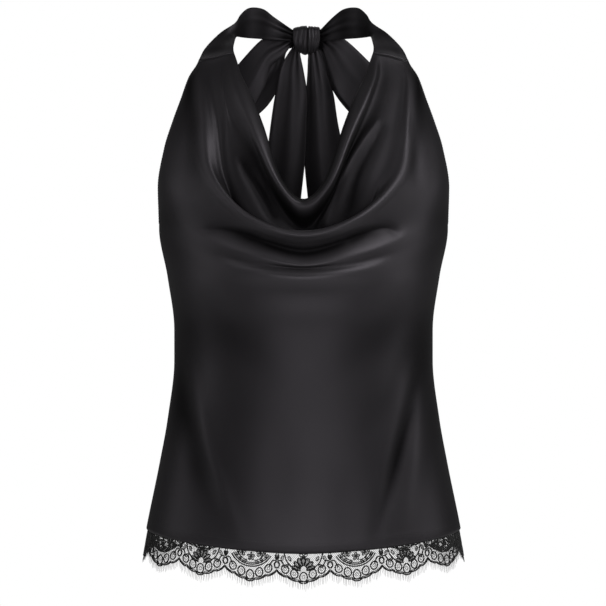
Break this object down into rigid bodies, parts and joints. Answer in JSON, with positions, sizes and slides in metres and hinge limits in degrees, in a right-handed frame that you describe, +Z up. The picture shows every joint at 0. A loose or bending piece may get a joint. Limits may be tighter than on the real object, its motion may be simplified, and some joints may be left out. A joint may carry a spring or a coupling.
{
  "type": "halter neck top",
  "caption": "Sleeveless satin halter top with a draped cowl front, low back, lace-trimmed hem and a neck tie knotted in a bow behind the neck.",
  "frame": {"origin": "the nape of the neck, where the neck tie and its knot bear on the back of the neck", "axes": "+Z up, -Y to the front of the wearer, +X to the right of someone looking at the front"},
  "size_m": [0.362, 0.2484, 0.6494],
  "materials": {
    "satin": "smooth black satin with a soft sheen",
    "lace": "matt black corded net lace with a short fringed edge"
  },
  "bodies": {
    "root": {"front_panel": "satin", "back_panel": "satin", "armhole_binding_left": "satin", "armhole_binding_right": "satin", "neck_strap_left": "satin", "neck_strap_right": "satin", "bow_knot": "satin", "bow_loop_left": "satin", "bow_loop_right": "satin", "bow_tail_left": "satin", "bow_tail_right": "satin", "lace_front": "lace", "lace_back": "lace", "lash_fringe_front": "lace", "lash_fringe_back": "lace"}
  },
  "joints": []
}
